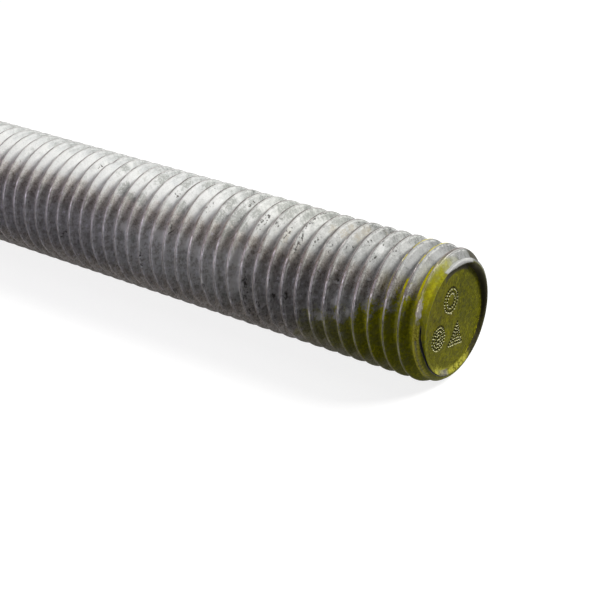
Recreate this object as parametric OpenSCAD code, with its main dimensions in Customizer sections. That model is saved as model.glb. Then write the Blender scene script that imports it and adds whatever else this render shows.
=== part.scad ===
// Threaded rod, M24 x 3, with a chamfer at each end and a shallow dish in its marked end.
// The rod lies along X with its middle at the origin, and the marked end looks along +X.
// The thread is cut as closed grooves of the true section, one at each pitch.

/* [Rod] */
// Length from end to end
rod_len = 300; // [60:5:400]
// Major diameter, over the crests of the thread
major_d = 24; // [18:0.5:30]

/* [Thread] */
// Pitch, from one crest to the next
pitch = 3; // [1.5:0.1:4]
// Depth of a groove, for each millimetre of pitch
depth_ratio = 0.613; // [0.5:0.001:0.65]
// Width of the flat on a crest, for each millimetre of pitch
crest_ratio = 0.125; // [0.05:0.005:0.2]
// Angle between the two flanks of a groove
flank_angle = 60; // [30:1:60]
// Distance from an end face to the middle of the first groove
first_groove = 2.4; // [2:0.1:6]

/* [Ends] */
// Width of each end chamfer, measured across the radius
chamfer_w = 1.6; // [0.4:0.1:2]
// Angle between the chamfer and the rod's axis
chamfer_angle = 45; // [30:1:60]
// Width of the flat rim round the dish
rim_w = 0.3; // [0.2:0.05:1]
// Depth of the dish
dish_depth = 0.45; // [0.1:0.05:1]
// Angle between the wall of the dish and the rod's axis
dish_wall_angle = 25; // [0:1:60]

/* [Hidden] */
$fn = 96;

crest_r = major_d / 2;
end_r = crest_r - chamfer_w;
chamfer_len = chamfer_w / tan(chamfer_angle);
thread_depth = pitch * depth_ratio;
root_r = crest_r - thread_depth;
flank_w = thread_depth * tan(flank_angle / 2);
root_flat = pitch * (1 - crest_ratio) - 2 * flank_w;
groove_count = floor((rod_len - 2 * first_groove) / pitch) + 1;
dish_r = end_r - rim_w;
dish_floor_r = dish_r - dish_depth * tan(dish_wall_angle);
// How far a cutting shape passes the surface that it cuts
overcut = 1;

// Half of the bare bar's section: x is the distance from the axis and y runs along the rod,
// from the marked end at 0 to the plain end.
module bar_section() {
    polygon([
        [0, 0],
        [end_r, 0],
        [crest_r, chamfer_len],
        [crest_r, rod_len - chamfer_len],
        [end_r, rod_len],
        [0, rod_len],
    ]);
}

// Section of one groove. Its flanks run on past the crest at the same angle.
module groove_section() {
    root_half_w = root_flat / 2;
    mouth_half_w = root_half_w + flank_w + overcut * tan(flank_angle / 2);
    polygon([
        [root_r, -root_half_w],
        [crest_r + overcut, -mouth_half_w],
        [crest_r + overcut, mouth_half_w],
        [root_r, root_half_w],
    ]);
}

// Section of the dish, which thread rolling leaves in an end that isn't faced afterwards
module dish_section() {
    mouth_r = dish_r + overcut * tan(dish_wall_angle);
    polygon([[0, -overcut], [mouth_r, -overcut], [dish_floor_r, dish_depth], [0, dish_depth]]);
}

module threaded_rod() {
    color([0.62, 0.62, 0.63])
    translate([rod_len / 2, 0, 0])
    rotate([0, -90, 0])
    rotate_extrude()
    difference() {
        bar_section();
        dish_section();
        for (i = [0 : groove_count - 1])
            translate([0, first_groove + i * pitch]) groove_section();
    }
}

threaded_rod();
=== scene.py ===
"""Looks of a hot-dip galvanised M24 x 3 threaded rod with a painted, dot-marked end.

The rod lies along X with its middle at the origin and its marked end towards +X.
Lengths are in millimetres until a finished mesh is scaled to Blender's metres.
"""

import logging
import math
from dataclasses import dataclass, field
from enum import Enum
from typing import Callable, Sequence, Union

import bmesh
import bpy
import numpy as np
from mathutils import Matrix, Vector, noise


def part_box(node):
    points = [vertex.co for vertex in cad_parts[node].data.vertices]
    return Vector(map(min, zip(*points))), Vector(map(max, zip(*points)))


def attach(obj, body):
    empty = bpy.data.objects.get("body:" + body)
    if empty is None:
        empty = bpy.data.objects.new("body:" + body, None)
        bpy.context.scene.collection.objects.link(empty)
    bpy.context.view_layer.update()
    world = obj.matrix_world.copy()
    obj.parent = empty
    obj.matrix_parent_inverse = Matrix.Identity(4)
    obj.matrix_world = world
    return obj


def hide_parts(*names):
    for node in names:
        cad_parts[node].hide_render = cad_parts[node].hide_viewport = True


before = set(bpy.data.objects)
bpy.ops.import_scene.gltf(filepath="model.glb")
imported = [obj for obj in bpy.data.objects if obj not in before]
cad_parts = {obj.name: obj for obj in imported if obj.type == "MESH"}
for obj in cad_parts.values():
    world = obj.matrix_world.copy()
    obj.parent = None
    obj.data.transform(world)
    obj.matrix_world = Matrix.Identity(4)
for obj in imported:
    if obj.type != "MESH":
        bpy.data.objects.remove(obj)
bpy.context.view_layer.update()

LOG = logging.getLogger("threaded_rod")
MM = 0.001
TURN = 2 * math.pi
BAKE_MAP = "OFBake"
PIT_LAYER = "punch_depth"
FOLD_LAYER = "fold"
BARE_LAYER = "bare"
# Dark scale on the rim, and painted shadow under the torn lip.
DARK_LAYER = "dark_scale"
PALE_LAYER = "pale_paint"
FLOAT = "NodeSocketFloat"
VECTOR = "NodeSocketVector"
COLOR = "NodeSocketColor"
SPOT = {"Place": VECTOR, "Off Crest": FLOAT, "Depth": FLOAT, "Radius": FLOAT, "Angle": FLOAT}
# A Mix node's colour sockets share their names with its other sockets, so they go by index.
MIX_COLOR_INPUTS = (0, 6, 7)
MIX_COLOR_OUTPUT = 2
AngleRule = Callable[[float], float]
Color = tuple[float, float, float, float]
Edges = list[bmesh.types.BMEdge]


def rgb(red: float, green: float, blue: float) -> Color:
    """Returns an opaque colour."""
    return (red, green, blue, 1.0)


def smooth_step(value: np.ndarray, low: float, high: float) -> np.ndarray:
    """Returns 0 below low and 1 above high, with a soft S between them."""
    share = np.clip((value - low) / (high - low), 0.0, 1.0)
    return share * share * (3.0 - 2.0 * share)


def ramp(value: float, low: float, high: float) -> float:
    """Returns a soft step of one value, falling where low is above high."""
    share = min(max((value - low) / (high - low), 0.0), 1.0)
    return share * share * (3.0 - 2.0 * share)


def soft_min(a: np.ndarray, b: np.ndarray, width: float) -> np.ndarray:
    """Returns the smaller of two values, with a fillet where they cross.

    Args:
        a: First values.
        b: Second values.
        width: How near the two must be for the fillet to act.

    Returns:
        The blended values.
    """
    share = np.clip(0.5 + 0.5 * (b - a) / width, 0.0, 1.0)
    return b + (a - b) * share - width * share * (1.0 - share)


def angle_gap(angle: np.ndarray, centre_deg: float) -> np.ndarray:
    """Returns the unsigned angle in degrees between each angle in radians and a centre."""
    turned = np.degrees(angle) - centre_deg
    return np.abs((turned + 180.0) % 360.0 - 180.0)


def lumps(points: np.ndarray, size: float, seed: float) -> np.ndarray:
    """Returns smooth noise from -1 to 1 at each point.

    Args:
        points: One row of x, y and z for each point.
        size: Width of a lump.
        seed: Moves the pattern, so that two layers differ.

    Returns:
        One value for each point.
    """
    shift = Vector((seed, seed * 1.7, -seed))
    return np.array([noise.noise(Vector(p) / size + shift) for p in points])


@dataclass(frozen=True)
class ThreadForm:
    """Right-hand metric thread, rounded at crest and root by its zinc coat, with a fold along the crest."""

    pitch: float = 3.0
    crest_r: float = 11.88
    crest_radius: float = 0.50
    root_radius: float = 0.60
    flank_slope: float = math.tan(math.radians(60))
    seam_depth: float = 0.12
    seam_half_width: float = 0.05
    seam_reach: float = 60.0
    first_crest: float = 0.899
    outline: tuple[float, ...] = (-1.22, -0.98, -0.43, -0.27, -0.1, 0.1, 0.27, 0.43, 0.98, 1.22, 1.5)

    def turns(self, along: np.ndarray, angle: np.ndarray) -> np.ndarray:
        """Returns the turns counted from the marked end, less the first crest's."""
        return along / self.pitch + angle / TURN - self.first_crest

    def off_crest(self, along: np.ndarray, angle: np.ndarray) -> np.ndarray:
        """Returns the signed distance along the axis from the nearest crest's middle."""
        turns = self.turns(along, angle)
        return (turns - np.round(turns)) * self.pitch

    def radius(self, off: np.ndarray) -> np.ndarray:
        """Gives the radius at a distance from the crest's middle.

        Args:
            off: Signed distance along the axis from the crest's middle.

        Returns:
            The radius at each distance.
        """
        gap = np.abs(off)
        flank = self.crest_r + self.crest_radius - gap * self.flank_slope
        on_crest = np.minimum(gap, self.crest_radius)
        crest = self.crest_r - self.crest_radius + np.sqrt(self.crest_radius**2 - on_crest**2)
        to_root = self.pitch / 2 - gap
        in_root = np.minimum(to_root, self.root_radius)
        root_r = self.crest_r + self.crest_radius - self.pitch / 2 * self.flank_slope + 2 * self.root_radius
        root = root_r - np.sqrt(self.root_radius**2 - in_root**2)
        cosine = math.cos(math.radians(30))
        radius = np.where(gap < self.crest_radius * cosine, crest, flank)
        radius = np.where(to_root < self.root_radius * cosine, root, radius)
        return radius - self.seam_depth * np.exp(-((off / self.seam_half_width) ** 2))


@dataclass(frozen=True)
class Nick:
    """A place where a crest was knocked flat."""

    along: float
    angle_deg: float
    depth: float = 0.3
    half_width: float = 0.9


@dataclass(frozen=True)
class EndForm:
    """Chamfered end of the rod."""

    face_r: float = 10.33
    chamfer_len: float = 3.0
    chamfer_power: float = 1.5
    rounding: float = 0.2

    def chamfer(self, depth: np.ndarray, crest_r: float) -> np.ndarray:
        """Gives the radius that the chamfer leaves at a depth from the end's face.

        Args:
            depth: Distance from the end's face, along the axis.
            crest_r: Radius at which the chamfer runs out.

        Returns:
            The largest radius at each depth.
        """
        share = np.clip(depth / self.chamfer_len, 0.0, 1.0)
        rise = 1.0 - (1.0 - share) ** self.chamfer_power
        past = np.maximum(depth - self.chamfer_len, 0.0)
        return self.face_r + (crest_r + self.rounding / 4 - self.face_r) * rise + past


@dataclass(frozen=True)
class RimStation:
    """Section of the marked end's rim at one angle: its brow, the slope inside it and the wall's foot."""

    angle_deg: float
    brow_r: float
    slope_r: float
    slope_depth: float
    foot_r: float
    foot_depth: float


RIM = (
    RimStation(0, 9.85, 9.30, 0.25, 9.15, 0.75),
    RimStation(30, 9.85, 9.15, 0.25, 9.00, 0.90),
    RimStation(57, 9.85, 9.15, 0.20, 9.00, 0.92),
    RimStation(66, 9.95, 9.70, 0.10, 9.40, 0.88),
    RimStation(80, 10.10, 9.52, 0.12, 9.40, 0.80),
    RimStation(94, 10.28, 9.42, 0.16, 9.34, 0.70),
    RimStation(104, 10.30, 9.72, 0.20, 9.60, 0.60),
    RimStation(111.5, 10.30, 10.00, 0.22, 9.85, 0.50),
    RimStation(115, 10.22, 10.12, 0.16, 9.95, 0.38),
    RimStation(150, 10.20, 9.95, 0.05, 9.60, 0.15),
    RimStation(180, 10.15, 9.80, 0.02, 9.40, 0.08),
    RimStation(210, 10.10, 9.80, 0.03, 9.50, 0.10),
    RimStation(240, 10.05, 9.75, 0.08, 9.40, 0.25),
    RimStation(270, 9.90, 9.60, 0.05, 8.95, 0.42),
    RimStation(300, 9.80, 9.50, 0.08, 8.90, 0.52),
    RimStation(330, 9.80, 9.35, 0.15, 9.10, 0.62),
)


@dataclass(frozen=True)
class RolledRim:
    """The marked end's rim, with a torn lip at its top and a fold behind its side."""

    stations: Sequence[RimStation] = RIM
    brow_width: float = 0.8
    lip_from_deg: float = 65.0
    lip_to_deg: float = 112.5
    lip_proud: float = 0.13
    lip_depth: float = 0.16
    lip_width: float = 0.15
    ragged: float = 0.10
    right_deg: float = 350.0
    low_deg: float = 262.0
    fold_depth: float = 0.42
    fold_half_width: float = 0.11
    fold_deg: Sequence[float] = (150, 168, 180, 190, 200, 230, 255)
    fold_places: Sequence[float] = (0.98, 0.75, 0.64, 0.42, 0.24, 0.12, 0.08)
    reach: float = 1.5

    def size(self, name: str, angle: float) -> float:
        """Gives one size of the rim's section at an angle.

        Args:
            name: The size's name in RimStation.
            angle: Angle about the axis, in radians.

        Returns:
            The size, blended between stations.
        """
        angles = [s.angle_deg for s in self.stations]
        values = [getattr(s, name) for s in self.stations]
        value = float(np.interp(math.degrees(angle) % 360, angles + [360.0], values + values[:1]))
        if name in ("slope_r", "foot_r") and self.on_lip(angle) > 0:
            value += self.ragged * noise.noise(Vector((angle * 14, 2.0, 5.0)))
        return value

    def on_lip(self, angle: float) -> float:
        """Tells how far a place round the axis is on the torn lip.

        Args:
            angle: Angle about the axis, in radians.

        Returns:
            1 on the lip and 0 off it.
        """
        turned = math.degrees(angle) % 360
        started = ramp(turned, self.lip_from_deg - 2, self.lip_from_deg + 3)
        return started * (1 - ramp(turned, self.lip_to_deg - 1.5, self.lip_to_deg))

    def brow_drop(self, depth: np.ndarray, angle: np.ndarray, face_r: float) -> np.ndarray:
        """Gives how far the brow is rounded inwards from the chamfer.

        Args:
            depth: Distance from the end's face.
            angle: Angle about the axis.
            face_r: Radius at which the chamfer would meet the face.

        Returns:
            The drop in radius at each point.
        """
        drop = np.array([face_r - self.size("brow_r", a) for a in angle])
        share = np.clip(1 - depth / self.brow_width, 0.0, 1.0)
        return drop * share**2.2

    def lip_swell(self, depth: np.ndarray, angle: np.ndarray) -> np.ndarray:
        """Gives how far the torn lip stands proud of the chamfer."""
        on = np.array([self.on_lip(a) for a in angle])
        return self.lip_proud * on * np.exp(-(((depth - self.lip_depth) / self.lip_width) ** 2))

    def stains(self, angle: float, radius: float, depth: float) -> dict[str, float]:
        """Gives the finish of the rim at a place: bare zinc, dark scale with painted shadow under the torn
        lip, and bright lit paint.

        Args:
            angle: Angle about the axis, in radians.
            radius: Distance from the axis.
            depth: Distance from the end's face.

        Returns:
            One share from 0 to 1 for each stain layer.
        """
        brow, slope, foot = (self.size(name, angle) for name in ("brow_r", "slope_r", "foot_r"))
        on_lip = self.on_lip(angle)
        ragged = 5 * noise.noise(Vector((angle * 5, radius, 1.0)))
        torn = 0.16 * noise.noise(Vector((angle * 15, 1.0, 8.0)))
        foot_line = foot - 0.25 + 0.2 * noise.noise(Vector((angle * 16, 4.0, 0.0)))
        from_right = angle_gap(angle, self.right_deg)
        right = ramp(from_right, 82 + ragged, 66 + ragged)
        low = ramp(angle_gap(angle, self.low_deg), 46, 26)
        reach = 0.75 + 0.5 * ramp(from_right, 64, 40)
        on_rim = ramp(radius, foot - 0.05, slope)
        on_rim *= ramp(depth, reach, reach - 0.45) * ramp(radius, brow + 0.2, brow - 0.02)
        inner = ramp(radius, 8.5, 9.0) * ramp(radius, brow + 0.05, brow - 0.15)
        wall = ramp(depth, 0.2, 0.4) * ramp(radius, foot - 0.12, foot + 0.03)
        lip = on_lip * ramp(radius, slope + 0.02, slope + 0.14)
        # Painted shadow under the torn lip.
        under = on_lip * ramp(radius, foot_line - 0.35, foot_line) * ramp(depth, 0.2, 0.4) * (1 - lip)
        scaled = max(on_rim * right, wall * right) * (1 - 0.8 * low * ramp(radius, 9.9, 9.6))
        return {
            BARE_LAYER: lip * ramp(depth, 0.60 + torn, 0.46 + torn),
            DARK_LAYER: max(scaled, 0.8 * under),
            PALE_LAYER: low * inner * ramp(depth, 0.75, 0.45),
        }

    def fold_place(self, angle: np.ndarray) -> np.ndarray:
        """Gives how far from the end's face the fold lies at each angle."""
        return np.interp(np.degrees(angle) % 360, self.fold_deg, self.fold_places)

    def fold(self, depth: np.ndarray, angle: np.ndarray) -> np.ndarray:
        """Gives how strongly each point lies in the fold.

        Args:
            depth: Distance from the end's face.
            angle: Angle about the axis.

        Returns:
            A share from 0 to 1 for each point.
        """
        turned = np.degrees(angle) % 360
        where = smooth_step(turned, 158, 170) * (1 - smooth_step(turned, 250, 268))
        wide = self.fold_half_width * (1 + 0.7 * np.exp(-(((turned - 186) / 9) ** 2)))
        return where * np.exp(-(((depth - self.fold_place(angle)) / wide) ** 2))


class MarkShape(Enum):
    """Outline of a dot-punched figure."""

    RING = "ring"
    WEDGE = "wedge"


WEDGE_CORNERS_DEG = (80, 200, 320)


@dataclass(frozen=True)
class DotMark:
    """A plain figure punched in dots on the end's face, y and z from the axis."""

    shape: MarkShape
    y: float
    z: float
    sizes: tuple[float, ...]
    spacing: float = 0.54

    def outline(self, size: float) -> list[tuple[float, float]]:
        """Lists the dots of one outline.

        Args:
            size: Distance from the figure's middle to its corners.

        Returns:
            The y and z of each dot.
        """
        if self.shape is MarkShape.RING:
            count = round(TURN * size / self.spacing)
            turns = [TURN * i / count for i in range(count)]
            return [(self.y + size * math.cos(a), self.z + size * math.sin(a)) for a in turns]
        angles = [math.radians(a) for a in WEDGE_CORNERS_DEG]
        corners = [(size * math.cos(a), size * math.sin(a)) for a in angles]
        dots = []
        for (y0, z0), (y1, z1) in zip(corners, corners[1:] + corners[:1]):
            count = max(1, round(math.dist((y0, z0), (y1, z1)) / self.spacing))
            for i in range(count):
                share = i / count
                dots.append((self.y + y0 + (y1 - y0) * share, self.z + z0 + (z1 - z0) * share))
        return dots

    def dots(self) -> list[tuple[float, float]]:
        """Returns the y and z of each of the figure's dots."""
        return [dot for size in self.sizes for dot in self.outline(size)]


@dataclass(frozen=True)
class Dish:
    """The dished floor of the marked end, and the figures punched in it."""

    end_x: float
    face_r: float
    rim: RolledRim
    marks: Sequence[DotMark]
    depth: float = 0.44
    tilt: float = 0.38
    low_side_deg: float = 35.0
    unevenness: float = 0.04
    reach: float = 8.5
    foot_width: float = 1.6
    cell: float = 0.40
    held_out: float = 1.0
    mark_cuts: int = 4
    mark_margin: float = 0.32
    dot_r: float = 0.185
    dot_depth: float = 0.15
    burr_side_deg: float = 250.0
    burr_at: float = 1.5
    burr_width: float = 0.36

    def drop(self, y: float, z: float) -> float:
        """Gives how deep the dish's floor lies below the end's face.

        Args:
            y: The place's y from the axis.
            z: The place's z from the axis.

        Returns:
            The depth.
        """
        low = math.radians(self.low_side_deg)
        across = (y * math.cos(low) + z * math.sin(low)) / self.face_r
        rough = noise.noise(Vector((y * 0.5, z * 0.5, 4.0))) * self.unevenness
        angle, r = math.atan2(z, y), math.hypot(y, z)
        plane = self.depth + self.tilt * across + rough
        foot = self.rim.size("foot_depth", angle)
        near_foot = ramp(r, self.reach - self.foot_width, self.rim.size("foot_r", angle))
        return plane + (foot - plane) * near_foot

    def fill(self, bm: bmesh.types.BMesh, ring: Edges) -> None:
        """Fills the dish with a fine floor and punches the marks in it.

        The floor's grid is held out in front of the face until each of its points is set in.

        Args:
            bm: Mesh that holds the dish's wall.
            ring: The edges at the wall's foot.
        """
        count = 2 * math.ceil(self.reach / self.cell)
        half = count * self.cell / 2
        grid = bmesh.ops.create_grid(bm, x_segments=count, y_segments=count, size=half)["verts"]
        for vert in grid:
            vert.co = (self.end_x + self.held_out, vert.co.x, vert.co.y)
        outside = [v for v in grid if math.hypot(v.co.y, v.co.z) > self.reach]
        bmesh.ops.delete(bm, geom=outside, context="VERTS")
        loose = [v for v in grid if v.is_valid and not v.link_faces]
        bmesh.ops.delete(bm, geom=loose, context="VERTS")
        inside = {v for v in grid if v.is_valid}
        border = [e for e in bm.edges if e.is_boundary and set(e.verts) <= inside]
        bmesh.ops.triangle_fill(bm, use_beauty=True, edges=ring + border, normal=(1, 0, 0))
        dots = [dot for mark in self.marks for dot in mark.dots()]
        marked = [f for f in bm.faces if self.near_dot(f, dots)]
        fine = list(dict.fromkeys(e for f in marked for e in f.edges))
        bmesh.ops.subdivide_edges(bm, edges=fine, cuts=self.mark_cuts, use_grid_fill=True)
        layer = bm.verts.layers.float.new(PIT_LAYER)
        for vert in bm.verts:
            if self.is_held_out(vert.co.x):
                y, z = vert.co.yz
                pushed = self.punch(y, z, dots)
                vert[layer] = pushed
                vert.co.x = self.end_x - self.drop(y, z) - self.dot_depth * pushed

    def is_held_out(self, x: float) -> bool:
        """Tells whether a point belongs to the floor's grid and isn't set in yet."""
        return x > self.end_x + 0.9 * self.held_out

    def punch(self, y: float, z: float, dots: Sequence[tuple[float, float]]) -> float:
        """Gives how far the nearest punched dot pushes the floor in.

        Args:
            y: The place's y from the axis.
            z: The place's z from the axis.
            dots: The y and z of every dot.

        Returns:
            The depth as a share of a dot's, below 0 on the burr beside it.
        """
        dot_y, dot_z = min(dots, key=lambda dot: math.dist((y, z), dot))
        near = math.dist((y, z), (dot_y, dot_z)) / self.dot_r
        leeward = math.cos(math.atan2(z - dot_z, y - dot_y) - math.radians(self.burr_side_deg))
        uneven = 0.85 + 0.9 * noise.noise(Vector((y * 3, z * 3, 0.0)))
        burr = uneven * max(0.12, leeward) * math.exp(-(((near - self.burr_at) / self.burr_width) ** 2))
        return math.exp(-(near**2)) - burr

    def near_dot(self, face: bmesh.types.BMFace, dots: Sequence[tuple[float, float]]) -> bool:
        """Tells whether a face of the floor lies on or beside a punched dot.

        Args:
            face: The face.
            dots: The y and z of every dot.

        Returns:
            True where the face needs finer cells.
        """
        place = face.calc_center_median()
        reach = self.mark_margin + self.cell / 2
        return self.is_held_out(place.x) and any(math.dist(place.yz, dot) < reach for dot in dots)


@dataclass(frozen=True)
class BakeLayout:
    """Where the skin lies in its bake map, in shares of the map's side.

    The thread lies in blocks, the largest for the marked end, and the two end faces beside them.
    """

    block_len: float = 75.0
    last_block: int = 3
    margin: float = 0.006
    first_size: float = 0.668
    first_low: float = 0.326
    later_pitch: float = 0.332
    later_width: float = 0.316
    later_height: float = 0.306
    disc_r: float = 10.5
    dish_r: float = 10.23
    dish_depth: float = 1.3
    marked_middle: tuple[float, float] = (0.84, 0.84)
    marked_half: float = 0.148
    plain_middle: tuple[float, float] = (0.78, 0.57)
    plain_half: float = 0.085

    def places(self, at: np.ndarray, middle: np.ndarray, normal: np.ndarray, length: float) -> np.ndarray:
        """Gives each face corner its place in the map.

        Args:
            at: Each corner's point, one row of x, y and z.
            middle: The middle of each corner's face.
            normal: The normal of each corner's face.
            length: The rod's length.

        Returns:
            One row of u and v for each corner.
        """
        along = length / 2 - at[:, 0]
        mid_along = length / 2 - middle[:, 0]
        mid_angle = np.arctan2(middle[:, 2], middle[:, 1])
        turn = np.arctan2(at[:, 2], at[:, 1]) - mid_angle
        around = (mid_angle + (turn + math.pi) % TURN - math.pi) / TURN + 0.5
        block = np.clip(mid_along // self.block_len, 0, self.last_block)
        in_block = self.later_width * (along - block * self.block_len) / self.block_len
        u = self.margin + (block - 1) * self.later_pitch + in_block
        u = np.where(block == 0, self.margin + self.first_size * along / self.block_len, u)
        v = self.margin + self.later_height * around
        v = np.where(block == 0, self.first_low + self.first_size * around, v)
        mid_r = np.hypot(middle[:, 1], middle[:, 2])
        in_dish = (mid_along < self.dish_depth) & (mid_r < self.dish_r) & (normal[:, 0] > 0.3)
        on_plain = (mid_along > length - 0.02) & (normal[:, 0] < -0.9)
        for face, half, (middle_u, middle_v) in (
            (in_dish, self.marked_half, self.marked_middle),
            (on_plain, self.plain_half, self.plain_middle),
        ):
            u = np.where(face, middle_u + half * at[:, 1] / self.disc_r, u)
            v = np.where(face, middle_v + half * at[:, 2] / self.disc_r, v)
        return np.stack([u, v], 1)


@dataclass
class ThreadedRod:
    """The whole rod as one closed skin."""

    length: float
    thread: ThreadForm = field(default_factory=ThreadForm)
    marked_end: EndForm = field(default_factory=EndForm)
    plain_end: EndForm = field(default_factory=lambda: EndForm(face_r=10.4, chamfer_len=1.9))
    rim: RolledRim = field(default_factory=RolledRim)
    segments: int = 64
    fine_len: float = 3.3
    fine_cuts: int = 3
    least_sweep: float = 1.0
    seam_cuts: int = 3
    fine_rings: tuple[float, ...] = (0.05, 0.12, 0.22, 0.34, 0.5, 0.68, 0.9, 1.15)
    zinc_swell: float = 0.03
    mean_r: float = 11.0
    stain_len: float = 2.0
    plain_inset: float = 0.3
    layout: BakeLayout = field(default_factory=BakeLayout)
    nicks: Sequence[Nick] = ()
    marks: Sequence[DotMark] = ()

    @property
    def end_x(self) -> float:
        """Returns where the marked end's face lies along X."""
        return self.length / 2

    # ---- the thread -------------------------------------------------

    def one_turn(self, bm: bmesh.types.BMesh) -> None:
        """Spins the thread's outline once round the axis, one pitch along it.

        Args:
            bm: Mesh that takes the turn.
        """
        form = self.thread
        start = self.end_x + (2 - form.first_crest) * form.pitch
        offs = [form.outline[-1] - form.pitch, *form.outline]
        verts = [bm.verts.new((start - off, form.crest_r, 0)) for off in offs]
        edges = [bm.edges.new(pair) for pair in zip(verts, verts[1:])]
        bmesh.ops.spin(
            bm, geom=verts + edges, cent=(0, 0, 0), axis=(1, 0, 0),
            dvec=(form.pitch / self.segments, 0, 0), angle=TURN, steps=self.segments,
        )

    def all_turns(self, bm: bmesh.types.BMesh) -> None:
        """Repeats the first turn until the strip passes both ends.

        Args:
            bm: Mesh that holds the first turn.
        """
        needed = math.ceil(self.length / self.thread.pitch) + 5
        made = 1
        while made < needed:
            geom = bm.verts[:] + bm.edges[:] + bm.faces[:]
            copy = bmesh.ops.duplicate(bm, geom=geom)
            new_verts = [g for g in copy["geom"] if isinstance(g, bmesh.types.BMVert)]
            bmesh.ops.translate(bm, verts=new_verts, vec=(-self.thread.pitch * made, 0, 0))
            made *= 2
        bmesh.ops.remove_doubles(bm, verts=bm.verts[:], dist=0.01)

    def cut_ring(self, bm: bmesh.types.BMesh, x: float, side: int = 0) -> None:
        """Cuts the strip across at x, and drops what lies beyond it on the given side."""
        geom = bm.verts[:] + bm.edges[:] + bm.faces[:]
        bmesh.ops.bisect_plane(
            bm, geom=geom, dist=1e-4, plane_co=(x, 0, 0), plane_no=(side or 1, 0, 0), clear_outer=bool(side)
        )

    def trim(self, bm: bmesh.types.BMesh) -> None:
        """Cuts the strip square at both ends and makes it finer behind the marked face.

        Args:
            bm: Mesh that holds the turns.
        """
        self.cut_ring(bm, self.end_x, 1)
        self.cut_ring(bm, -self.end_x, -1)
        for depth in (*self.fine_rings, self.fine_len):
            self.cut_ring(bm, self.end_x - depth)
        nearest = self.end_x - self.fine_len - 1e-3
        round_it = [e for e in bm.edges if min(v.co.x for v in e.verts) > nearest and self.runs_round(e)]
        bmesh.ops.subdivide_edges(bm, edges=round_it, cuts=self.fine_cuts, use_grid_fill=True)
        self.split_seam(bm)

    def runs_round(self, edge: bmesh.types.BMEdge) -> bool:
        """Tells whether an edge runs round the rod rather than along it."""
        return abs(edge.verts[0].co.cross(edge.verts[1].co).x) > self.least_sweep

    def split_seam(self, bm: bmesh.types.BMesh) -> None:
        """Splits the crest's middle strip along the thread, where its fold is seen.

        Args:
            bm: Mesh that holds the trimmed strip.
        """
        half_width = max(off for off in self.thread.outline if 0 < off < self.thread.crest_radius / 2)
        across = []
        for edge in bm.edges:
            one, other = (v.co for v in edge.verts)
            if abs(one.x - other.x) < 0.05 or self.end_x - max(one.x, other.x) > self.thread.seam_reach:
                continue
            offs = [self.thread.off_crest(self.end_x - c.x, math.atan2(c.z, c.y)) for c in (one, other)]
            if max(abs(off) for off in offs) < half_width + 0.01:
                across.append(edge)
        bmesh.ops.subdivide_edges(bm, edges=across, cuts=self.seam_cuts)

    def shape_skin(self, bm: bmesh.types.BMesh) -> None:
        """Moves every point of the strip to the thread's, chamfers' and nicks' true radius.

        Args:
            bm: Mesh that holds the trimmed strip.
        """
        points = np.array([v.co for v in bm.verts])
        angle = np.arctan2(points[:, 2], points[:, 1])
        along = self.end_x - points[:, 0]
        off = self.thread.off_crest(along, angle)
        radius = self.thread.radius(off)
        round_bar = np.stack([points[:, 0], self.mean_r * np.cos(angle), self.mean_r * np.sin(angle)], 1)
        swell = 0.6 * lumps(round_bar, 3.0, 3.0) + 0.4 * lumps(round_bar, 1.3, 8.0)
        radius = radius + self.zinc_swell * swell
        for nick in self.nicks:
            radius -= self.nick_depth(nick, along, angle, off)
        crest_r = self.thread.crest_r
        chamfer = self.marked_end.chamfer(along, crest_r)
        near = along < self.rim.reach
        chamfer[near] -= self.rim.brow_drop(along[near], angle[near], self.marked_end.face_r)
        chamfer[near] += self.rim.lip_swell(along[near], angle[near])
        radius = soft_min(radius, chamfer, self.marked_end.rounding)
        chamfer = self.plain_end.chamfer(self.length - along, crest_r)
        radius = soft_min(radius, chamfer, self.plain_end.rounding)
        fold = np.where(near, self.rim.fold(along, angle), 0.0)
        radius -= self.rim.fold_depth * fold
        layer = bm.verts.layers.float.new(FOLD_LAYER)
        for vert, r, a, f in zip(bm.verts, radius, angle, fold):
            vert.co.y = r * math.cos(a)
            vert.co.z = r * math.sin(a)
            vert[layer] = f

    def nick_depth(self, nick: Nick, along: np.ndarray, angle: np.ndarray, off: np.ndarray) -> np.ndarray:
        """Gives how far a nick pushes the skin in.

        Args:
            nick: The nick.
            along: Distance from the marked end.
            angle: Angle about the axis.
            off: Distance from the nearest crest.

        Returns:
            The depth at each point.
        """
        round_it = angle_gap(angle, nick.angle_deg) * math.radians(1) * self.thread.crest_r
        same_turn = np.abs(along - nick.along) < self.thread.pitch * 0.45
        near = np.exp(-((round_it / nick.half_width) ** 2)) * same_turn
        return nick.depth * near * (1 - smooth_step(np.abs(off), 0.25, 0.7))

    # ---- the ends ---------------------------------------------------

    def open_edge(self, bm: bmesh.types.BMesh, x: float) -> Edges:
        """Returns the open edges that lie on the plane at x."""
        return [e for e in bm.edges if e.is_boundary and all(abs(v.co.x - x) < 1e-3 for v in e.verts)]

    def step_in(self, bm: bmesh.types.BMesh, edges: Edges, radii: AngleRule, depths: AngleRule) -> Edges:
        """Extrudes an open loop inwards by one ring.

        Args:
            bm: Mesh that holds the loop.
            edges: The loop's edges.
            radii: Gives the new ring's radius at an angle.
            depths: Gives how far the new ring lies inside the end's face at an angle.

        Returns:
            The new ring's edges.
        """
        made = bmesh.ops.extrude_edge_only(bm, edges=edges)["geom"]
        ring = [g for g in made if isinstance(g, bmesh.types.BMVert)]
        for vert in ring:
            a = math.atan2(vert.co.z, vert.co.y)
            r = radii(a)
            vert.co = (self.end_x - depths(a), r * math.cos(a), r * math.sin(a))
        inner = set(ring)
        return [g for g in made if isinstance(g, bmesh.types.BMEdge) and set(g.verts) <= inner]

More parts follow.
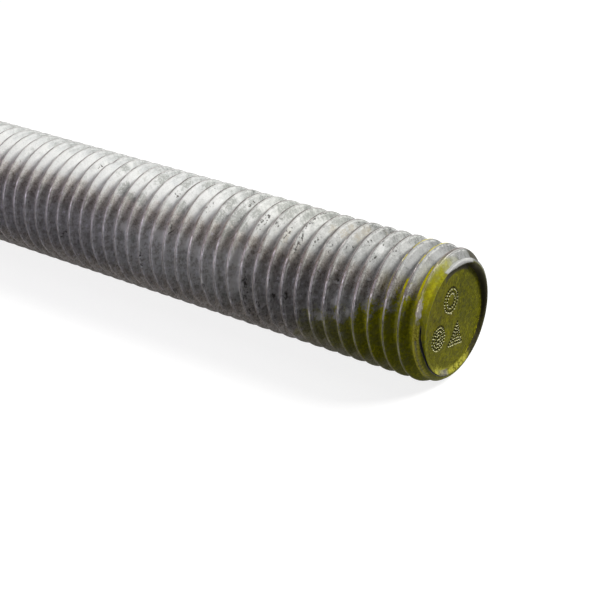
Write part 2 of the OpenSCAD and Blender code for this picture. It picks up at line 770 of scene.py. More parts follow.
    def marked_face(self, bm: bmesh.types.BMesh) -> None:
        """Closes the marked end with its rolled rim, the dish's wall and its floor.

        Args:
            bm: Mesh that holds the shaped strip.
        """
        size = self.rim.size
        dish = Dish(self.end_x, self.marked_end.face_r, self.rim, self.marks)

        def between(first: str, second: str, share: float) -> AngleRule:
            """Returns the rule for a size part of the way from one of the rim's sizes to another."""
            return lambda a: size(first, a) + (size(second, a) - size(first, a)) * share

        ring = self.open_edge(bm, self.end_x)
        for share, depth_share in ((0.3, 0.04), (0.65, 0.35), (1.0, 1.0)):
            radii = between("brow_r", "slope_r", share)
            ring = self.step_in(bm, ring, radii, lambda a: depth_share * size("slope_depth", a))
        for share in (0.35, 0.8):
            radii = between("slope_r", "foot_r", share)
            ring = self.step_in(bm, ring, radii, between("slope_depth", "foot_depth", share))
        for inset in (0.05, 0.25):
            radii = lambda a: size("foot_r", a) - inset
            depths = lambda a: dish.drop(radii(a) * math.cos(a), radii(a) * math.sin(a))
            ring = self.step_in(bm, ring, radii, depths)
        dish.fill(bm, ring)

    def stain_rim(self, bm: bmesh.types.BMesh) -> None:
        """Notes the rim's bare, dark and pale places on its points.

        Args:
            bm: Mesh of the finished skin.
        """
        layers = {name: bm.verts.layers.float.new(name) for name in (BARE_LAYER, DARK_LAYER, PALE_LAYER)}
        for vert in bm.verts:
            depth = self.end_x - vert.co.x
            if depth > self.stain_len:
                continue
            y, z = vert.co.yz
            stains = self.rim.stains(math.atan2(z, y), math.hypot(y, z), depth)
            for name, layer in layers.items():
                vert[layer] = stains[name]

    def plain_face(self, bm: bmesh.types.BMesh) -> None:
        """Closes the plain end with a flat face.

        Args:
            bm: Mesh that holds the shaped strip.
        """
        ring = self.open_edge(bm, -self.end_x)
        made = bmesh.ops.extrude_edge_only(bm, edges=ring)["geom"]
        inner = [g for g in made if isinstance(g, bmesh.types.BMVert)]
        for vert in inner:
            r = math.hypot(vert.co.y, vert.co.z)
            vert.co.y *= (r - self.plain_inset) / r
            vert.co.z *= (r - self.plain_inset) / r
        loop = [g for g in made if isinstance(g, bmesh.types.BMEdge) and set(g.verts) <= set(inner)]
        bmesh.ops.triangle_fill(bm, use_beauty=True, edges=loop, normal=(-1, 0, 0))

    # ---- the finished piece -----------------------------------------

    def unwrap(self, mesh: bpy.types.Mesh) -> None:
        """Lays the skin out flat in its bake map.

        Args:
            mesh: The finished mesh, still in millimetres.
        """
        corner = np.empty(len(mesh.loops), dtype=np.int64)
        mesh.loops.foreach_get("vertex_index", corner)
        points = np.empty(len(mesh.vertices) * 3)
        mesh.vertices.foreach_get("co", points)
        totals = np.empty(len(mesh.polygons), dtype=np.int64)
        mesh.polygons.foreach_get("loop_total", totals)
        normal = np.empty(len(mesh.polygons) * 3)
        mesh.polygons.foreach_get("normal", normal)
        owner = np.repeat(np.arange(len(totals)), totals)
        at = points.reshape(-1, 3)[corner]
        middle = np.stack([np.bincount(owner, at[:, i]) / totals for i in range(3)], 1)[owner]
        places = self.layout.places(at, middle, normal.reshape(-1, 3)[owner], self.length)
        mesh.uv_layers.new(name=BAKE_MAP).data.foreach_set("uv", places.ravel())

    def build(self) -> bpy.types.Object:
        """Makes the rod's mesh and its object.

        Returns:
            The finished object, at the origin, in metres.
        """
        bm = bmesh.new()
        self.one_turn(bm)
        self.all_turns(bm)
        self.trim(bm)
        self.shape_skin(bm)
        self.marked_face(bm)
        self.plain_face(bm)
        self.stain_rim(bm)
        bmesh.ops.recalc_face_normals(bm, faces=bm.faces[:])
        for face in bm.faces:
            face.smooth = True
        for edge in bm.edges:
            near_face = abs(edge.verts[0].co.x) > self.end_x - 1.0
            if near_face and edge.calc_face_angle(0.0) > math.radians(50):
                edge.smooth = False
        mesh = bpy.data.meshes.new("threaded_rod_skin")
        bm.to_mesh(mesh)
        bm.free()
        self.unwrap(mesh)
        mesh.transform(Matrix.Scale(MM, 4))
        rod = bpy.data.objects.new("galvanised_rod", mesh)
        bpy.context.scene.collection.objects.link(rod)
        triangles = sum(len(polygon.vertices) - 2 for polygon in mesh.polygons)
        LOG.info("%s: %d faces, %d triangles", rod.name, len(mesh.polygons), triangles)
        return rod


class Signal:
    """A value that changes over the surface. Arithmetic on it places Math nodes."""

    def __init__(self, board: "NodeBoard", socket: bpy.types.NodeSocket) -> None:
        """Keeps the value's socket and the board that takes its nodes."""
        self.board = board
        self.socket = socket

    def __add__(self, other: "Value") -> "Signal":
        """Returns the sum."""
        return self.board.math("ADD", self, other)

    def __radd__(self, other: "Value") -> "Signal":
        """Returns the sum, for a plain number on the left."""
        return self.board.math("ADD", other, self)

    def __sub__(self, other: "Value") -> "Signal":
        """Returns the difference."""
        return self.board.math("SUBTRACT", self, other)

    def __rsub__(self, other: "Value") -> "Signal":
        """Returns a plain number less this value."""
        return self.board.math("SUBTRACT", other, self)

    def __mul__(self, other: "Value") -> "Signal":
        """Returns the product."""
        return self.board.math("MULTIPLY", self, other)

    def __truediv__(self, other: "Value") -> "Signal":
        """Returns the quotient."""
        return self.board.math("DIVIDE", self, other)

    def __or__(self, other: "Value") -> "Signal":
        """Returns the larger of two masks."""
        return self.board.math("MAXIMUM", self, other)

    def __abs__(self) -> "Signal":
        """Returns the value without its sign."""
        return self.board.math("ABSOLUTE", self)

    def step(self, low: float, high: float) -> "Signal":
        """Steps softly from 0 to 1.

        Args:
            low: Where the step is 0.
            high: Where the step is 1. Below low, the step falls.

        Returns:
            The mask.
        """
        ends = {"From_Min": low, "From_Max": high}
        if low > high:
            ends = {"From_Min": high, "From_Max": low, "To_Min": 1.0, "To_Max": 0.0}
        settings = {"interpolation_type": "SMOOTHSTEP"}
        return self.board.value("ShaderNodeMapRange", settings, Value=self, **ends)

    def band(self, first: tuple[float, float], second: tuple[float, float]) -> "Signal":
        """Returns the mask of a band that two steps leave between them."""
        return self.step(*first) * self.step(*second)


Value = Union[Signal, bpy.types.NodeSocket, float, Sequence[float]]
Signals = dict[str, Signal]


class NodeBoard:
    """Short ways to place and join shader nodes in one tree, and the colour as laid so far."""

    def __init__(self, tree: bpy.types.NodeTree) -> None:
        """Keeps the tree that the nodes go in."""
        self.tree = tree
        self.color: Value = rgb(1.0, 1.0, 1.0)

    def add(self, kind: str, settings: dict | None = None, **inputs: Value) -> bpy.types.Node:
        """Places a node and fills its inputs.

        Args:
            kind: The node's type name.
            settings: Values for the node's own properties.
            inputs: Values by input name, with underscores for spaces.

        Returns:
            The new node.
        """
        node = self.tree.nodes.new(kind)
        for name, value in (settings or {}).items():
            setattr(node, name, value)
        for name, value in inputs.items():
            self.join(value, node.inputs[name.replace("_", " ")])
        return node

    def join(self, value: Value, socket: bpy.types.NodeSocket) -> None:
        """Links a changing value to an input, or sets a plain one on it.

        Args:
            value: What the input gets.
            socket: The input.
        """
        if isinstance(value, Signal):
            value = value.socket
        if isinstance(value, bpy.types.NodeSocket):
            self.tree.links.new(value, socket)
        else:
            socket.default_value = value

    def outputs(self, node: bpy.types.Node) -> Signals:
        """Returns a node's outputs by name."""
        return {socket.name: Signal(self, socket) for socket in node.outputs}

    def value(self, kind: str, settings: dict | None = None, **inputs: Value) -> Signal:
        """Places a node as add does, and returns its first output."""
        return Signal(self, self.add(kind, settings, **inputs).outputs[0])

    def place_group(self, tree: bpy.types.NodeTree, given: Signals) -> Signals:
        """Places a node group.

        Args:
            tree: The group.
            given: Values for its inputs, by name.

        Returns:
            The group's outputs by name.
        """
        node = self.add("ShaderNodeGroup", {"node_tree": tree})
        for socket in node.inputs:
            self.join(given[socket.name], socket)
        return self.outputs(node)

    def math(self, kind: str, *values: Value) -> Signal:
        """Places a Math node.

        Args:
            kind: The node's operation.
            values: Its inputs in order.

        Returns:
            The result.
        """
        node = self.add("ShaderNodeMath", {"operation": kind})
        for value, socket in zip(values, node.inputs):
            self.join(value, socket)
        return Signal(self, node.outputs[0])

    def noise(self, place: Value, scale: float, detail: float, rough: float) -> Signal:
        """Returns the value of a Noise texture at a place."""
        return self.value("ShaderNodeTexNoise", Vector=place, Scale=scale, Detail=detail, Roughness=rough)

    def stretch(self, place: Value, scale: Sequence[float], shift: Sequence[float] = (0, 0, 0)) -> Signal:
        """Returns a place scaled and shifted by a Mapping node."""
        return self.value("ShaderNodeMapping", Vector=place, Scale=scale, Location=shift)

    def mix(self, how: str, share: Value, first: Value, second: Value) -> Signal:
        """Mixes two colours.

        Args:
            how: The Mix node's blend type.
            share: How much the second colour counts, from 0 to 1.
            first: The colour underneath.
            second: The colour on top.

        Returns:
            The mixed colour.
        """
        node = self.add("ShaderNodeMix", {"data_type": "RGBA", "blend_type": how})
        for value, index in zip((share, first, second), MIX_COLOR_INPUTS):
            self.join(value, node.inputs[index])
        return Signal(self, node.outputs[MIX_COLOR_OUTPUT])

    def lay(self, color: Value, share: Value) -> None:
        """Lays a colour over what is there."""
        self.color = self.mix("MIX", share, self.color, color)

    def tint(self, color: Value, share: Value) -> None:
        """Multiplies what is there by a colour."""
        self.color = self.mix("MULTIPLY", share, self.color, color)


class GroupBoard(NodeBoard):
    """The board of a new shader node group."""

    def __init__(self, name: str, inputs: dict[str, str], outputs: dict[str, str]) -> None:
        """Makes the group with its named sockets.

        Args:
            name: The group's name.
            inputs: Socket types by input name.
            outputs: Socket types by output name.
        """
        super().__init__(bpy.data.node_groups.new(name, "ShaderNodeTree"))
        for names, way in ((inputs, "INPUT"), (outputs, "OUTPUT")):
            for socket, kind in names.items():
                self.tree.interface.new_socket(socket, in_out=way, socket_type=kind)
        self.given = self.outputs(self.add("NodeGroupInput")) if inputs else {}

    def give(self, **results: Value) -> bpy.types.NodeTree:
        """Joins the results to the group's outputs, with underscores for spaces, and returns the group."""
        self.add("NodeGroupOutput", **results)
        return self.tree


class CoatBoard(GroupBoard):
    """The board of one coat of the thread, with the spot that the coat is asked for.

    The angle is in turns from +Y towards +Z, from -0.5 to 0.5, and turned is the same from 0 to 1.
    Depth, radius and the distance off the crest are in millimetres.
    """

    def __init__(self, name: str, outputs: dict[str, str]) -> None:
        """Makes the coat's group, with the spot's values as its inputs.

        Args:
            name: The group's name.
            outputs: Socket types by output name.
        """
        super().__init__(name, SPOT, outputs)
        self.place, self.off, self.depth, self.radius, self.angle = (self.given[name] for name in SPOT)
        self.gap = abs(self.off)
        self.turned = self.math("FRACT", self.angle + 1.0)


def new_material(name: str) -> tuple[bpy.types.Material, NodeBoard]:
    """Makes an empty node material.

    Args:
        name: The material's name.

    Returns:
        The material and a board for its nodes.
    """
    made = bpy.data.materials.new(name)
    made.use_nodes = True
    made.node_tree.nodes.clear()
    return made, NodeBoard(made.node_tree)


@dataclass(frozen=True)
class ThreadPlace:
    """Where a spot lies on the thread: off its crest's middle, behind the marked end and round the axis."""

    form: ThreadForm
    end_x: float
    spare_turns: int = 8

    def group(self) -> bpy.types.NodeTree:
        """Builds the node group.

        Returns:
            A group with the place in millimetres, the signed distance off the crest, the depth
            behind the marked end, the radius and the angle in turns.
        """
        board = GroupBoard("thread_place", {}, SPOT)
        object_place = board.outputs(board.add("ShaderNodeTexCoord"))["Object"]
        place = board.stretch(object_place, (1 / MM,) * 3)
        x, y, z = board.outputs(board.add("ShaderNodeSeparateXYZ", Vector=place)).values()
        depth = self.end_x - x
        angle = board.math("ARCTAN2", z, y) / TURN
        turns = depth / self.form.pitch + angle
        share = board.math("FRACT", turns + (0.5 - self.form.first_crest + self.spare_turns))
        off = (share - 0.5) * self.form.pitch
        radius = board.math("SQRT", y * y + z * z)
        return board.give(Place=place, Off_Crest=off, Depth=depth, Radius=radius, Angle=angle)


class ScarKind(Enum):
    """What a mark left on the zinc by casting, handling or storage looks like."""

    BLOTCH = "blotch"
    PITS = "pits"
    STAIN = "stain"
    BRIGHT = "bright"
    GOUGE = "gouge"


@dataclass(frozen=True)
class Scar:
    """One mark on the zinc, long around the rod and narrow along it."""

    kind: ScarKind
    depth: float
    angle_deg: float
    around: float
    along: float


def scars(kind: ScarKind, *rows: tuple[float, float, float, float]) -> tuple[Scar, ...]:
    """Returns scars of one kind from their depth, angle and half sizes around and along the rod."""
    return tuple(Scar(kind, *row) for row in rows)


SCARS = (
    *scars(
        ScarKind.BLOTCH,
        (42.9, 117, 2.2, 0.9), (40.4, 127, 1.5, 0.6), (40.1, 108, 1.4, 0.7), (28.6, 78, 2.6, 0.45),
        (28.6, 66, 1.2, 0.7), (64.2, 130, 1.2, 0.7), (66.9, 130, 1.0, 0.6), (55.0, 126, 1.4, 0.7),
        (46.1, 123, 1.6, 0.7), (43.0, 136, 1.4, 0.6), (64.0, 96, 2.2, 0.8), (58.4, 96, 1.6, 0.6),
        (46.3, 108, 1.8, 0.7), (69.8, 122, 1.6, 0.6), (73.4, 96, 1.2, 0.5), (34.4, 100, 2.0, 0.7),
        (31.2, 88, 2.2, 0.6), (25.2, 84, 2.6, 0.6), (66.4, 171, 0.6, 0.35), (63.4, 169, 0.7, 0.35),
        (51.2, 172, 0.7, 0.4), (48.0, 78, 3.0, 0.8), (52.0, 72, 3.0, 0.8), (37.0, 84, 2.4, 0.8),
        (55.0, 82, 2.0, 0.6),
    ),
    *scars(
        ScarKind.PITS,
        (37.2, 116, 2.2, 0.30), (31.2, 120, 2.4, 0.32), (28.6, 98, 3.4, 0.25), (28.1, 128, 1.8, 0.35),
        (16.2, 106, 1.0, 0.3), (13.4, 104, 0.5, 0.25), (13.2, 122, 1.0, 0.25), (10.4, 110, 0.9, 0.3),
        (34.3, 115, 1.4, 0.3), (43.2, 96, 1.6, 0.3), (18.9, 118, 0.6, 0.25), (58.0, 112, 0.7, 0.25),
        (49.3, 118, 1.2, 0.3), (54.9, 150, 1.0, 0.3), (36.6, 184, 3.4, 0.28), (36.3, 206, 1.2, 0.35),
        (33.6, 196, 2.0, 0.25), (78.8, 104, 0.7, 0.4), (25.1, 120, 1.2, 0.25), (22.1, 122, 1.4, 0.25),
        (60.9, 186, 1.6, 0.3), (81.4, 188, 1.2, 0.4),
    ),
    *scars(
        ScarKind.STAIN,
        (21.9, 102, 1.3, 0.6), (22.1, 88, 1.3, 0.6), (19.0, 101, 1.6, 0.55), (19.1, 87, 1.8, 0.6),
        (24.9, 96, 1.4, 0.5), (31.1, 124, 1.6, 0.4), (72.0, 112, 1.4, 0.5),
    ),
    *scars(
        ScarKind.BRIGHT,
        (13.2, 109, 1.2, 0.35), (37.9, 148, 1.5, 0.8), (39.5, 155, 2.0, 0.9), (39.2, 182, 1.8, 0.9),
        (12.5, 140, 0.25, 0.25), (18.0, 169, 1.0, 0.5), (17.6, 183, 1.0, 0.6), (1.40, 153, 2.1, 0.42),
        (15.0, 176, 0.8, 0.4), (21.0, 188, 1.0, 0.5), (57.1, 158, 1.4, 0.8), (50.9, 158, 1.2, 0.8),
        (48.3, 162, 1.2, 0.6), (66.0, 160, 1.2, 0.7), (78.9, 95, 0.5, 0.5), (73.5, 90, 0.8, 0.5),
        (28.3, 112, 0.9, 0.3), (18.3, 151, 0.3, 0.45),
    ),
    *scars(
        ScarKind.GOUGE,
        (30.4, 180, 0.55, 0.2), (10.9, 131, 0.35, 0.30), (18.2, 149, 0.30, 0.18), (36.6, 176, 1.1, 0.22),
        (27.6, 176, 0.9, 0.2), (18.6, 113, 0.25, 0.2), (23.0, 158, 0.3, 0.2), (46.0, 190, 0.5, 0.25),
        (9.9, 66, 0.4, 0.25), (0.25, 121, 0.3, 0.2), (0.25, 132, 0.22, 0.18), (3.9, 150, 0.25, 0.15),
        (8.2, 168, 0.3, 0.2),
    ),
)


ScarMasks = dict[ScarKind, Signal]


class ZincGrain:
    """The zinc's natural patterns, from broad clouds to fine grain."""

    def __init__(self, on: CoatBoard) -> None:
        """Draws the patterns.

        Args:
            on: Board of the zinc group.
        """
        self.along_thread = on.stretch(on.place, (2.6, 0.7, 0.7))
        self.broad = on.noise(on.place, 0.33, 4.0, 0.6)
        self.mottle = on.noise(on.place, 1.1, 6.0, 0.72)
        self.streak = on.noise(self.along_thread, 1.5, 5.0, 0.7)
        self.fine = on.noise(on.place, 4.6, 3.0, 0.7)
        self.clouds = on.noise(on.stretch(on.place, (1.5, 1.0, 1.0), (8, 3, 27)), 1.25, 5.0, 0.72)
        self.tone = self.broad * 0.26 + self.mottle * 0.36 + self.streak * 0.18 + self.fine * 0.2
        self.edge = (self.mottle - 0.5) * 0.25


class RodSides:
    """Masks of the rod's sides, by the angle round it and the depth behind the marked end."""

    plain_end_side = 0.33

    def __init__(self, on: CoatBoard, grain: ZincGrain) -> None:
        """Draws the masks.

        Args:
            on: Board of the zinc group.
            grain: The zinc's patterns, which make the sides' edges uneven.
        """
        self.far_off = on.depth.step(34.0, 60.0) * grain.tone.step(0.3, 0.42)
        self.on_top = on.radius.step(11.2, 11.5)
        self.near_end = on.depth.step(3.6, 2.6)
        self.plain_face = on.radius.step(10.45, 10.2) * on.depth.step(200.0, 250.0)
        self.threaded = 1.0 - self.plain_face
        uneven = on.angle + (grain.broad - 0.5) * 0.1
        self.signed = on.math("MULTIPLY_ADD", self.plain_face, self.plain_end_side - uneven, uneven)
        self.turned = on.math("FRACT", self.signed + 1.0)
        short_of_back = self.turned.step(0.975, 0.84)
        self.underneath = self.turned.step(0.575, 0.62) * short_of_back
        self.below = self.turned.step(0.44, 0.5) * short_of_back
        # Where painted warm shade lies: the band where the lit side turns to shade, and the underside.
        underside_band = self.turned.step(0.53, 0.6) * short_of_back
        self.warm_shade_zone = self.turned.band((0.34, 0.39), (0.46, 0.4)) | underside_band


@dataclass(frozen=True)
class ZincCoat:
    """Dull hot-dip zinc: mottled grey, pitted, bright along worn crests, with painted shade beside them and
    painted light and shade round the rod.
    """

    pale: Color = rgb(0.74, 0.745, 0.725)
    middle: Color = rgb(0.60, 0.605, 0.59)
    dark: Color = rgb(0.31, 0.315, 0.30)
    blotch: Color = rgb(0.30, 0.31, 0.29)
    crest: Color = rgb(0.46, 0.43, 0.42)
    # Painted shade on each crest's lee side.
    lee_shade: Color = rgb(0.20, 0.165, 0.145)
    # Dark dirt, also laid as painted shade in the crests' fold.
    dirt_and_shade: Color = rgb(0.045, 0.038, 0.030)
    tarnish: Color = rgb(0.46, 0.38, 0.25)
    # Darkens the upper side.
    film: Color = rgb(0.65, 0.66, 0.655)
    # Painted warm shade.
    warm_shade: Color = rgb(0.92, 0.85, 0.80)
    # Painted warm shade on the crests.
    crest_warm_shade: Color = rgb(0.66, 0.58, 0.54)
    bright: Color = rgb(0.87, 0.87, 0.86)
    # Painted lilac sheen on the crests.
    polish_sheen: Color = rgb(0.82, 0.78, 0.86)
    buffed: Color = rgb(0.88, 0.83, 0.70)
    # Darkens the part near the marked end.
    darker_near_end: Color = rgb(0.76, 0.76, 0.77)
    grit: Color = rgb(0.50, 0.48, 0.46)
    # Painted shade, darkening the shaded side.
    shade_darkening: Color = rgb(0.62, 0.60, 0.62)
    top_stain: Color = rgb(0.66, 0.66, 0.645)
    far_pale: Color = rgb(0.735, 0.745, 0.755)
    smudge: Color = rgb(0.58, 0.555, 0.53)
    glint: Color = rgb(0.86, 0.82, 0.92)
    scars: Sequence[Scar] = SCARS
    scar_r: float = 11.3
    scar_lead: float = 3.0

    def scar_distance(self, on: CoatBoard, kind: ScarKind, arc: Signal, lead: Signal) -> Signal:
        """Measures how far a spot lies from the nearest scar of one kind.

        Args:
            on: Board of the zinc group.
            kind: The kind of scar.
            arc: Distance round the rod.
            lead: Distance along the rod, counted with the thread's lead.

        Returns:
            The distance, 1 at a scar's edge.
        """
        nearest = None
        for scar in (scar for scar in self.scars if scar.kind is kind):
            turned = math.radians(scar.angle_deg) * self.scar_r
            level = scar.depth + self.scar_lead * scar.angle_deg / 360
            across = on.math("MULTIPLY_ADD", arc, 1 / scar.around, -turned / scar.around)
            down = on.math("MULTIPLY_ADD", lead, 1 / scar.along, -level / scar.along)
            away = on.math("MULTIPLY_ADD", across, across, down * down)
            nearest = away if nearest is None else on.math("MINIMUM", nearest, away)
        return on.math("SQRT", nearest)

    def scar_masks(self, on: CoatBoard) -> ScarMasks:
        """Draws where the scars lie.

        Args:
            on: Board of the zinc group.

        Returns:
            A mask for each kind, broken up as that kind is.
        """
        arc = on.turned * (TURN * self.scar_r)
        lead = on.depth + arc * (self.scar_lead / (TURN * self.scar_r))
        wobble = on.noise(on.place, 1.1, 4.0, 0.7)
        speckle = on.noise(on.place, 3.2, 3.0, 0.7)
        chips = on.noise(on.stretch(on.place, (1.6, 1.0, 1.0)), 2.1, 1.0, 0.5)
        away = {kind: self.scar_distance(on, kind, arc, lead) for kind in ScarKind}
        torn = {kind: distance + (wobble - 0.5) * 2.8 for kind, distance in away.items()}
        return {
            ScarKind.PITS: away[ScarKind.PITS].step(1.3, 0.9) * chips.step(0.56, 0.62),
            ScarKind.BLOTCH: torn[ScarKind.BLOTCH].step(1.3, 0.6) * speckle.step(0.3, 0.55),
            ScarKind.GOUGE: torn[ScarKind.GOUGE].step(1.0, 0.7) * chips.step(0.38, 0.5),
            ScarKind.STAIN: torn[ScarKind.STAIN].step(1.2, 0.5) * speckle.step(0.38, 0.56),
            ScarKind.BRIGHT: torn[ScarKind.BRIGHT].step(1.3, 0.5),
        }

    def upper_side(self, on: CoatBoard, grain: ZincGrain, sides: RodSides) -> None:
        """Lays the mottled zinc, darker on its upper side and towards the marked end, with stains on its
        upper side.

        Args:
            on: Board of the zinc group.
            grain: The zinc's patterns.
            sides: Masks of the rod's sides.
        """
        on.color = self.dark
        on.lay(self.middle, grain.tone.step(0.38, 0.49))
        on.lay(self.pale, grain.tone.step(0.47, 0.555))
        on.lay(self.far_pale, sides.far_off * 0.74)
        # Darker on the upper side.
        cloudy = sides.signed.band((0.262, 0.19), (-0.25, -0.05)) * (1.0 - sides.far_off * 0.15)
        on.tint(self.film, cloudy)
        # Darker towards the marked end.
        on.tint(self.darker_near_end, on.depth.step(32.0, 18.0))
        on.tint(self.darker_near_end, on.depth.step(11.0, 6.0))
        on.tint(self.top_stain, cloudy * (grain.mottle + grain.fine * 0.8).step(0.89, 0.78))

    def lower_side(self, on: CoatBoard, grain: ZincGrain, sides: RodSides) -> None:
        """Lays a band of painted light, and below it painted shade, painted light on the underside, painted
        warm shade, grit, smudges and glints.

        Args:
            on: Board of the zinc group.
            grain: The zinc's patterns.
            sides: Masks of the rod's sides.
        """
        # A band of painted light where the lit side turns towards shade.
        painted_light_band = sides.turned.band((0.255, 0.295), (0.4, 0.345))
        on.lay(self.bright, painted_light_band * (0.12 + on.depth.step(20.0, 45.0) * 0.5))
        # Painted shade on the shaded side, deeper at some depths behind the marked end.
        in_shade = sides.turned.band((0.385, 0.415), (0.6, 0.54))
        darker_shade_depths = on.depth.band((46.0, 28.0), (14.0, 24.0)) | on.depth.step(54.0, 84.0)
        on.tint(self.shade_darkening, in_shade * darker_shade_depths * 0.85)
        # Painted light on the underside, standing in for light thrown up from the floor.
        on.lay(self.bright, sides.underneath * 0.6)
        # Painted warm shade on the shaded band and the underside.
        on.tint(self.warm_shade, sides.warm_shade_zone * grain.streak.step(0.2, 0.55))
        speckle = on.noise(on.stretch(on.place, (1, 1, 1), (3, 21, 6)), 4.2, 2.0, 0.65)
        on.tint(self.grit, speckle.step(0.54, 0.4) * (0.22 + sides.warm_shade_zone * 0.55))
        low_side = sides.turned.band((0.34, 0.41), (0.72, 0.66))
        on.tint(self.smudge, low_side * grain.clouds.step(0.53, 0.41) * 0.8)
        on.lay(self.glint, low_side * grain.clouds.step(0.575, 0.68) * 0.65)

    def blemishes(self, on: CoatBoard, grain: ZincGrain, sides: RodSides, scar: ScarMasks) -> Signal:
        """Lays the blotches, rust stains, bright scars and pits.

        Args:
            on: Board of the zinc group.
            grain: The zinc's patterns.
            sides: Masks of the rod's sides.
            scar: Masks of the scars.

        Returns:
            The pits' mask.
        """
        spread = on.noise(on.stretch(on.place, (1, 1, 1), (17, 4, 9)), 0.42, 5.0, 0.68)
        blotches = spread.step(0.55, 0.65) * grain.mottle.step(0.35, 0.6)
        on.lay(self.blotch, (blotches * 0.6 | scar[ScarKind.BLOTCH]) * 0.75)
        rust = on.noise(on.stretch(on.place, (1, 1, 1), (31, 7, 3)), 0.30, 5.0, 0.7).step(0.62, 0.74)
        on.lay(self.tarnish, (rust * 0.6 | scar[ScarKind.STAIN]) * 0.42)
        flash = on.mix("MIX", sides.near_end, self.bright, self.buffed)
        on.lay(flash, scar[ScarKind.BRIGHT] * 0.65)
        holes = on.noise(on.stretch(grain.along_thread, (1, 1, 1), (5, 9, 2)), 2.2, 3.0, 0.6)
        pits = (holes + grain.streak * 0.12).step(0.765, 0.8) | scar[ScarKind.PITS] | scar[ScarKind.GOUGE]
        on.lay(self.dirt_and_shade, pits * 0.85)
        return pits

    def crest_wear(self, on: CoatBoard, grain: ZincGrain, sides: RodSides) -> tuple[Signal, Signal]:
        """Draws the worn crests, fewer on the underside and on the far shaded side as painted shade, and
        painted shade on their lee side.

        Args:
            on: Board of the zinc group.
            grain: The zinc's patterns.
            sides: Masks of the rod's sides.

        Returns:
            The masks of the worn crests and of the painted shade on their lee side.
        """
        # Painted shade on each crest's lee side.
        lee_shade = on.off.step(0.1, 0.17) * (on.off + grain.edge).step(0.46, 0.34) * sides.on_top
        # Worn crests narrower and fewer on the underside, as painted shade there.
        worn = (on.gap + grain.edge + sides.below * 0.06).step(0.2, 0.12) * sides.on_top
        worn = worn * (1.0 - sides.below * 0.25)
        # Fewer worn crests on the far shaded side, as painted shade.
        dull = on.depth.step(48.0, 72.0) * sides.turned.step(0.32, 0.38)
        worn = worn * (1.0 - dull * 0.6)
        rubbed_off = sides.below * grain.clouds.step(0.56, 0.44)
        return worn * (1.0 - rubbed_off * 0.75), lee_shade

    def polish_and_sheen(self, on: CoatBoard, grain: ZincGrain, sides: RodSides) -> Signal:
        """Draws the crests' polish, laid in one band round the rod as a painted sheen, wider near the
        marked end where they are buffed.

        Args:
            on: Board of the zinc group.
            grain: The zinc's patterns.
            sides: Masks of the rod's sides.

        Returns:
            The mask.
        """
        polish_and_sheen = sides.turned.band((0.372, 0.405), (0.49, 0.452))
        polish_and_sheen = polish_and_sheen * (on.gap + grain.edge - sides.near_end * 0.16).step(0.16, 0.08)
        return polish_and_sheen * grain.mottle.step(0.36, 0.58) * sides.on_top

    def seam_shade(self, on: CoatBoard, sides: RodSides) -> Signal:
        """Draws painted shade in the fold along the crests' middle, and just behind the crests on the upper
        side.

        Args:
            on: Board of the zinc group.
            sides: Masks of the rod's sides.

        Returns:
            The mask.
        """
        unbroken = on.noise(on.place, 0.45, 3.0, 0.6).step(0.36, 0.48)
        # Painted shade in the fold along the crests' middle.
        seam_shade = on.gap.step(0.07, 0.03) * unbroken * sides.on_top
        behind = abs(on.off - 0.12).step(0.1, 0.05) * sides.turned.step(0.34, 0.28)
        return seam_shade | behind * (0.45 + unbroken * 0.55) * sides.on_top

    def group(self) -> bpy.types.NodeTree:
        """Builds the node group.

        Returns:
            A group that turns a place on the thread into colour, roughness, metal share and height.
        """
        outputs = {"Color": COLOR, "Roughness": FLOAT, "Metal": FLOAT, "Height": FLOAT, "Bare": FLOAT}
        on = CoatBoard("zinc_coat", outputs)
        grain = ZincGrain(on)
        sides = RodSides(on, grain)
        scar = self.scar_masks(on)
        self.upper_side(on, grain, sides)
        self.lower_side(on, grain, sides)
        pits = self.blemishes(on, grain, sides, scar)
        grime = on.gap.step(1.05, 1.45) * sides.threaded
        grime = grime * on.noise(grain.along_thread, 0.5, 4.0, 0.6).step(0.3, 0.75)
        on.lay(self.dirt_and_shade, grime * 0.5)
        # A painted highlight along the flank just beside each crest.
        rim = on.off.band((-0.56, -0.46), (-0.3, -0.38)) * (grain.streak.step(0.42, 0.56) * sides.threaded)
        on.lay(self.bright, rim * 0.45)
        worn, lee_shade = self.crest_wear(on, grain, sides)
        # Painted shade on the crests' lee side.
        on.lay(self.lee_shade, lee_shade * 0.85)
        on.lay(self.crest, worn * 0.8)
        # Painted highlight on the worn crests of the underside.
        low_crest_highlight = sides.turned.step(0.455, 0.51) * on.depth.step(54.0, 40.0)
        on.lay(self.bright, worn * low_crest_highlight * 0.65)
        # Painted warm shade on the worn crests and their lee, in the shaded band and underneath.
        on.tint(self.crest_warm_shade, (worn | lee_shade) * sides.warm_shade_zone)
        # Painted sheen on the crests in one band round the rod, buffed metal near the marked end.
        polish_and_sheen = self.polish_and_sheen(on, grain, sides)
        on.lay(on.mix("MIX", sides.near_end, self.polish_sheen, self.buffed), polish_and_sheen * 0.84)
        # Painted shade in the crests' fold and just behind the crests.
        seam_shade = self.seam_shade(on, sides)
        on.lay(self.dirt_and_shade, seam_shade * 0.72)
        shiny = worn | lee_shade
        metal = 0.05 + shiny * 0.55 + polish_and_sheen * 0.25 + sides.underneath * 0.1
        return on.give(
            Color=on.color,
            Roughness=0.44 + grain.fine * 0.22 - shiny * 0.24,
            Metal=metal * (1.0 - (pits | grime | seam_shade)),
            Height=grain.mottle * 0.16 + grain.fine * 0.06 - pits * 0.07 - seam_shade * 0.05,
            Bare=scar[ScarKind.BRIGHT],
        )


